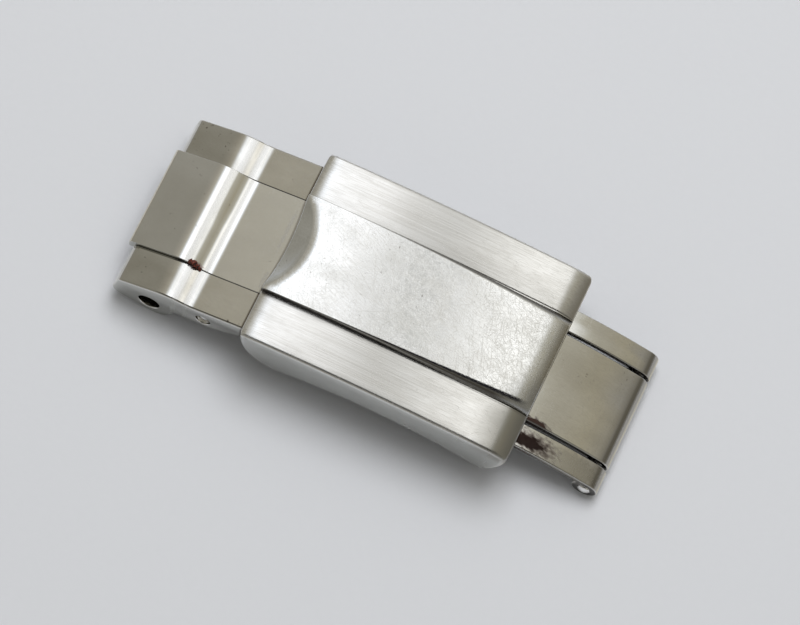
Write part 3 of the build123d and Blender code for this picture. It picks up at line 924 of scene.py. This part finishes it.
def middle_outline():
    """The middle row: the same dip, a higher crest, and a thin tip over the first link's place."""
    from_cover = [
        (TUCK, SEAT_LEVEL),
        (0.4, SEAT_LEVEL),
        (-5.0, 4.64),
        (-6.95, 5.22),
        (-piece_reach, 3.75),
        (-piece_reach, 2.7),
        (-6.3, 4.34),
        (-6.3, 1.88),
        (-0.1, 3.3),
        (TUCK, 3.9),
    ]
    radii = [0.3, 2.0, 3.3, 4.2, 0.4, 0.2, 0.5, 0.05, 0.05, 0.3]
    return rounded_outline(np.array(from_cover) + (cover_left, 0), radii)


def end_row(side):
    """Rings of one outer row: its outside, the bar's bore and the cross pin's hole."""
    low, high = row_inner - SEAM, half_piece
    outside = soft_slab(row_outline(), low, high, 0.035, (0.14, 0.2))
    bore = round_hole(cover_left - LUG_REACH, LUG_HEIGHT, BORE_RADIUS, low, high, rim=0.1)
    pin_hole = round_hole(cross_x, cross_z, cross_radius + 0.01, low, high, rim=0.08)
    return [ring * np.array([1, side, 1]) for ring in (outside, bore, pin_hole)]


for label, side in SIDES:
    row_solids = [end_row(side)]
    stands_for = [f"end_piece_{label}_row"]
    make_piece(f"end_row_{label}", row_solids, "lower", row_polish, stands_for)
half_middle = half_centre + SEAM
middle_rings = soft_slab(middle_outline(), -half_middle, half_middle, 0.05, 0.05)
make_piece("end_middle", [[middle_rings]], "lower", bright_polish, ["end_piece_centre"])

# %% [markdown]
# ## Pins with domed ends
# The two pins whose ends show are turned parts: a profile of radius and place carried round the
# axis. Each end is slightly domed and has a rounded rim, which is what catches the light. A
# cylinder with a Bevel modifier would have the rim, but not the dome.

# %% Turned pins


def turned_pin(x, z, radius, half_length, dome, rim):
    """Rings of a pin across the clasp: radius and place follow dome, rim and shank.

    The dome falls by dome x share squared from the middle of the end, and the rim is a quarter
    circle.
    """
    dome_share = np.linspace(0.02, 1, 6)
    rim_turn = np.linspace(math.pi / 2, 0, 7)[1:]
    dome_y = half_length - dome * dome_share**2
    rim_y = half_length - dome - rim + rim * np.sin(rim_turn)
    size = join([(radius - rim) * dome_share, radius - rim + rim * np.cos(rim_turn)])
    place = join([dome_y, rim_y])
    size = join([size, size[::-1]])[:, None]
    return rings_round(x, z, size, join([place, -place[::-1]])[:, None])


cross_rings = turned_pin(cross_x, cross_z, cross_radius - 0.06, cross_half - 0.16, 0.16, 0.06)
make_piece("cross_pin", [[cross_rings]], "lower", pin_steel, ["end_piece_cross_pin"])
link_pin_rings = turned_pin(end_x, end_z, end_pin_radius, end_pin_half + 0.25, 0.12, 0.15)
make_piece("link_pin", [[link_pin_rings]], "link", pin_steel, ["link_end_pin"])

# %% [markdown]
# ## The spring inside the spring bar
# The spring is one coil, made in two halves that meet in the middle. A coil is a point that turns
# round the bar while it moves along it, and its wire is a circle round that point, in the plane of
# two directions: away from the bar, and across both that and the coil.

# %% The two halves of the spring
SPRING_WIRE = 0.12
SPRING_TURNS = 5
STEPS_PER_TURN, WIRE_POINTS = 24, 12
spring_radius, spring_half = pin_place("spring_bar_spring")[2:]


def half_coil(side):
    """Tube of half the spring: centre R (cos a, ., sin a) + y, wire w (cos b away + sin b across)."""
    coil, reach = spring_radius - SPRING_WIRE, spring_half - SPRING_WIRE
    sweep = 2 * math.pi * SPRING_TURNS
    turn = side * np.linspace(0, sweep, STEPS_PER_TURN * SPRING_TURNS)
    away = np.stack([np.cos(turn), np.zeros_like(turn), np.sin(turn)], 1)
    way = unit(np.stack([-coil * np.sin(turn), np.full_like(turn, reach / sweep), coil * np.cos(turn)], 1))
    across = np.cross(way, away)[:, None]
    centre = np.array([bar_x, 0, bar_z]) + coil * away + np.outer(turn * reach / sweep, [0, 1, 0])
    around = np.linspace(0, 2 * math.pi, WIRE_POINTS, endpoint=False)[None, :, None]
    return centre[:, None] + SPRING_WIRE * (np.cos(around) * away[:, None] + np.sin(around) * across)


for label, side in SIDES:
    half_spring = make_piece(
        f"spring_half_{label}", [[half_coil(side)]], "cover", pin_steel, ["spring_bar_spring"]
    )
    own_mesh(half_spring)

# %% [markdown]
# A few crumbs of brown dirt are stuck in the near seam, beside the crest. Each is a ball whose
# size changes with both of its angles, so that it looks broken rather than round. Dirt could be
# colour alone, but these stand out of the seam and cast small shadows.

# %% Crumbs in the seam
CRUMB_DARK = (0.015, 0.008, 0.006)
CRUMB_BROWN = (0.17, 0.035, 0.02)
CRUMB_PLACES = [
    ((-16.42, -4.42, 5.02), 0.2),
    ((-16.05, -4.46, 5.0), 0.26),
    ((-15.72, -4.55, 4.86), 0.2),
    ((-15.45, -4.62, 4.8), 0.13),
]


def crumb(centre, size, seed):
    """Rings of a lump: radius size x (1 + 0.24 sin(3a + s) sin(2t) + 0.13 sin(5a - s) sin(3t))."""
    turn = np.linspace(0.2, math.pi - 0.2, 14)[:, None]
    angle = np.linspace(0, 2 * math.pi, 24, endpoint=False)
    lump = 1 + 0.24 * np.sin(3 * angle + seed) * np.sin(2 * turn)
    lump = lump + 0.13 * np.sin(5 * angle - seed) * np.sin(3 * turn)
    across = -np.cos(turn) * np.ones_like(angle)
    ball = np.stack([np.sin(turn) * np.cos(angle), across, np.sin(turn) * np.sin(angle)], 2)
    return np.array(centre) + size * lump[..., None] * ball


crumb_dirt, crumb_tree, crumb_shader = new_material("crumb_dirt")
crumb_noise = pattern(crumb_tree, (7.0, 7.0, 7.0), detail=4.0)
brown_share = span(crumb_tree, crumb_noise, 0.4, 0.6)
fill(crumb_tree, crumb_shader, {
    "Base Color": tint(crumb_tree, brown_share, CRUMB_DARK, CRUMB_BROWN),
    "Roughness": span(crumb_tree, crumb_noise, 0.3, 0.7, 0.25, 0.6),
    "Normal": raised(crumb_tree, crumb_noise, 0.05),
})
crumbs = [[crumb(place, size, seed)] for seed, (place, size) in enumerate(CRUMB_PLACES)]
make_piece("seam_crumbs", crumbs, "lower", crumb_dirt, [])

# %% [markdown]
# ## The link
# Each strip of the link is a curved plate, curled round the spring bar's tube at one end and round
# the next pin at the other. The outline is the plate's upper arc, the end knuckle's circle, the
# part of the lower arc that lies outside both knuckles, and the bar knuckle's circle. It could be
# a plate joined to two tubes, but one closed outline leaves no seam between them.

# %% Strips of the link
PLATE = 0.6
BAR_KNUCKLE = 1.2
END_KNUCKLE = 1.148
END_SLOPE = math.radians(17)


def link_outline(rise):
    """A strip of the link from the side; rise lifts its start above the bar knuckle."""
    bar, end = np.array([bar_x, bar_z]), np.array([end_x, end_z])
    down = np.array([math.cos(END_SLOPE), -math.sin(END_SLOPE)])
    top_end = end + END_KNUCKLE * np.array([-down[1], down[0]])
    top_start = bar + (0, BAR_KNUCKLE + rise)
    middle, radius = touching_circle(top_end, -down, top_start)
    turn = np.linspace(math.atan2(*(top_start - middle)[::-1]), math.pi / 2 - END_SLOPE, 60)
    under = bulged(bar + (0, BAR_KNUCKLE - PLATE), end + (0, END_KNUCKLE - PLATE), 0.25, 200)
    from_bar = np.hypot(*(under - bar).T)
    from_end = np.hypot(*(under - end).T)
    under = under[(from_bar > BAR_KNUCKLE) & (from_end > END_KNUCKLE)][::6]
    end_stop = np.arctan2(*(under[-1] - end)[::-1]) % (2 * math.pi) - 2 * math.pi
    bar_stop = np.arctan2(*(under[0] - bar)[::-1])
    end_curl = on_circle(end, END_KNUCKLE, np.linspace(math.pi / 2 - END_SLOPE, end_stop, 60)[1:])
    bar_curl = on_circle(bar, BAR_KNUCKLE, np.linspace(bar_stop, math.pi / 2 - 2 * math.pi, 60))
    return join([on_circle(middle, radius, turn), end_curl, under[::-1][1:-1], bar_curl])


def link_strip(low, high, rise, low_edge, high_edge):
    """Rings of a strip: its outside and the holes for the bar's tube and the end pin."""
    outside = soft_slab(link_outline(rise), low, high, low_edge, high_edge)
    tube_hole = round_hole(bar_x, bar_z, tube_radius + 0.01, low, high, rim=0.05)
    pin_hole = round_hole(end_x, end_z, end_pin_radius + 0.01, low, high, rim=0.06)
    return [outside, tube_hole, pin_hole]


far_strip = link_strip(link_row_inner, half_link, 0.0, 0.12, 0.14)
near_strip = [ring * MIRROR for ring in far_strip]
make_piece("link_strip_far", [far_strip], "link", link_polish, ["link_far_row"])
make_piece("link_strip_near", [near_strip], "link", link_polish, ["link_near_row"])
middle_strip = link_strip(-half_link_centre, half_link_centre, 0.3, 0.15, 0.15)
make_piece("link_strip_middle", [middle_strip], "link", link_polish, ["link_centre"])

# %% [markdown]
# ## Parts that keep their CAD shape
# The blades, hinge ears, bosses and the spring bar are plain turned and bent parts whose CAD
# shape is right as it is. They only get the finish of their kind.

# %% Finishes of the other parts
BENT_PARTS = ("lower_blade", "middle_blade", "cover_hinge_ears")
TURNED_PARTS = (
    "blade_rivets", "blade_hinge_pin", "cover_hinge_pin", "catch_pin", "bar_bosses",
    "link_bar_tube", "spring_bar_barrel", "spring_bar_near_tip", "spring_bar_far_tip",
)
for names, finish in ((BENT_PARTS, blade_steel), (TURNED_PARTS, pin_steel)):
    for name in names:
        for material_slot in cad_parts[name].material_slots:
            material_slot.material = finish
print("finished CAD parts", sum(1 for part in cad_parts.values() if not part.hide_render))

# %% [markdown]
# ## Floor, light and camera
# The clasp lies on pale bluish paper under soft light from the far side. Polished steel shows
# whatever surrounds it, so the surroundings are a plain room: a bright soft patch high on the
# far side, a dimmer warm room around it and a pale horizon. One broad lamp gives the soft shadow.
# The floor is a plain grid with faint paper fibres, large enough to fill any view.

# %% Floor
FLOOR_SIZE = 1.6
FLOOR_POINTS = 9
PAPER_COLOUR = (0.68, 0.695, 0.735)
PAPER_SHADE = (0.665, 0.68, 0.72)
paper, paper_tree, paper_shader = new_material("pale_paper")
fibres = pattern(paper_tree, (1.5, 1.5, 1.5), detail=4.0)
fill(paper_tree, paper_shader, {
    "Base Color": tint(paper_tree, fibres, PAPER_COLOUR, PAPER_SHADE),
    "Roughness": 0.85,
    "Specular IOR Level": 0.2,
    "Normal": raised(paper_tree, fibres, 0.01),
})
grid = np.linspace(-FLOOR_SIZE / 2, FLOOR_SIZE / 2, FLOOR_POINTS)
floor_x, floor_y = np.meshgrid(grid, grid)
floor_points = np.stack([floor_x, floor_y, np.zeros_like(floor_x)], 2).reshape(-1, 3)
index = np.arange(FLOOR_POINTS**2).reshape(FLOOR_POINTS, FLOOR_POINTS)
floor_quads = np.stack([index[:-1, :-1], index[:-1, 1:], index[1:, 1:], index[1:, :-1]], 2)
floor_mesh = bpy.data.meshes.new("paper_floor")
floor_mesh.from_pydata(floor_points, [], floor_quads.reshape(-1, 4).tolist())
floor_mesh.materials.append(paper)
floor = add_object("paper_floor", floor_mesh)
print("floor", FLOOR_SIZE, "m square")

# %% [markdown]
# The room is a colour for each way that a reflection can look. The patch has a profile along x,
# from the thumb end to the link end, whose peaks make the white bands on dips and crests. Smooth
# ramps say where the patch, the dark near side, the far left corner and the horizon end.

# %% Room
PATCH_PROFILE = [
    (-0.60, (0.31, 0.30, 0.26)),
    (-0.46, (0.38, 0.36, 0.31)),
    (-0.36, (0.50, 0.48, 0.41)),
    (-0.33, (0.62, 0.62, 0.60)),
    (-0.26, (1.46, 1.53, 1.64)),
    (-0.13, (1.46, 1.46, 1.46)),
    (-0.06, (0.62, 0.62, 0.60)),
    (0.01, (0.66, 0.66, 0.64)),
    (0.08, (1.25, 1.25, 1.22)),
    (0.15, (1.40, 1.39, 1.35)),
    (0.21, (0.95, 0.97, 0.97)),
    (0.27, (0.52, 0.50, 0.42)),
    (0.36, (0.45, 0.43, 0.36)),
    (0.46, (0.40, 0.37, 0.28)),
    (0.55, (0.31, 0.30, 0.27)),
    (0.70, (0.20, 0.19, 0.16)),
]
PROFILE_START, PROFILE_END = -0.8, 0.8
ROOM_LEVEL = 1.75
ROOM_DIM = (0.30, 0.29, 0.25)
ROOM_NEAR = (0.012, 0.011, 0.014)
ROOM_PALE = (0.45, 0.46, 0.48)
ROOM_LEFT = (0.42, 0.42, 0.39)


def of_level(colour):
    """A colour of the room, divided by the strength of its light."""
    return tuple(part / ROOM_LEVEL for part in colour)


room = bpy.data.worlds.new("room")
bpy.context.scene.world = room
room.use_nodes = True
sky = room.node_tree
way_x, way_y, way_z = axes(sky, node(sky, "TexCoord").outputs["Generated"])
slant = times(sky, span(sky, way_y, 0.335, 0.40), span(sky, way_x, -0.02, 0.04))
slanted = plus(sky, way_x, times(sky, slant, 0.06))
along = span(sky, slanted, PROFILE_START, PROFILE_END)
patch = node(sky, "ValToRGB", {"Fac": along})
stops = patch.color_ramp.elements
while len(stops) < len(PATCH_PROFILE):
    stops.new(0.5)
for stop, (place, colour) in zip(stops, PATCH_PROFILE):
    stop.position = (place - PROFILE_START) / (PROFILE_END - PROFILE_START)
    stop.color = (*of_level(colour), 1.0)
overhead = times(sky, span(sky, way_y, -0.06, 0.06), span(sky, way_y, 0.92, 0.66))
near_side = times(
    sky,
    span(sky, way_y, 0.06, -0.06),
    span(sky, way_x, -0.8, -0.4),
    span(sky, way_x, 0.6, 0.4),
    span(sky, way_z, 0.62, 0.82),
)
far_left = times(sky, span(sky, way_x, -0.5, -0.6), span(sky, way_y, 0.42, 0.7))
pale = span(sky, way_z, 0.04, 0.3, 1.0, 0.0)
room_colour = tint(sky, near_side, of_level(ROOM_DIM), of_level(ROOM_NEAR))
room_colour = tint(sky, overhead, room_colour, patch.outputs["Color"])
room_colour = tint(sky, far_left, room_colour, of_level(ROOM_LEFT))
room_colour = tint(sky, pale, room_colour, of_level(ROOM_PALE))
fill(sky, sky.nodes["Background"], {"Color": room_colour, "Strength": ROOM_LEVEL})
print("room profile stops", len(stops))

# %% [markdown]
# Each lamp is a round area. Its energy is level x (pi x distance) squared, so that it gives that
# level of light on the floor.

# %% Lamps
# For each: the way towards it, its distance and size in metres, and its light on the floor.
LAMPS = {
    "soft_lamp": ((-0.03, 0.32, 0.95), 0.33, 0.22, 0.48),
    "fill_lamp": ((0.1, 0.1, 0.99), 1.0, 1.3, 0.25),
}


def look_from(way):
    """Turns an object so that its -Z looks back along way: columns are right, up and way."""
    back = unit(np.asarray(way, float))
    right = unit(np.cross((0, 1, 0), back))
    return Matrix(np.stack([right, np.cross(back, right), back], 1).tolist()).to_4x4()


for name, (lamp_way, distance, size, level) in LAMPS.items():
    lamp_data = bpy.data.lights.new(name, "AREA")
    lamp_data.shape = "DISK"
    lamp_data.size = size
    lamp_data.energy = level * (math.pi * distance) ** 2
    lamp = add_object(name, lamp_data)
    lamp.matrix_world = Matrix.Translation(unit(np.array(lamp_way)) * distance) @ look_from(lamp_way)
    lamp.visible_glossy = False
    print(name, round(lamp_data.energy, 3), "W")

# %% [markdown]
# The camera looks down steeply through a long lens, so there is little perspective. Its place
# and its two directions were fitted to the corners and edges of the cover.

# %% Camera
CAMERA_PLACE = (0.023419, -0.132176, 0.351085)
CAMERA_RIGHT = (0.905314, 0.413246, 0.098154)
CAMERA_UP = (-0.420399, 0.838838, 0.345856)
CAMERA_LENS = 202.5
camera_data = bpy.data.cameras.new("camera")
camera_data.sensor_width = 36
camera_data.sensor_fit = "HORIZONTAL"
camera_data.lens = CAMERA_LENS
camera_data.clip_start = 0.01
camera = add_object("camera", camera_data)
right, up = unit(np.array(CAMERA_RIGHT)), unit(np.array(CAMERA_UP))
turned = Matrix(np.stack([right, up, np.cross(right, up)], 1).tolist()).to_4x4()
camera.matrix_world = Matrix.Translation(CAMERA_PLACE) @ turned
bpy.context.scene.camera = camera
bpy.context.scene.view_settings.view_transform = "Standard"
print("camera lens", CAMERA_LENS, "mm")
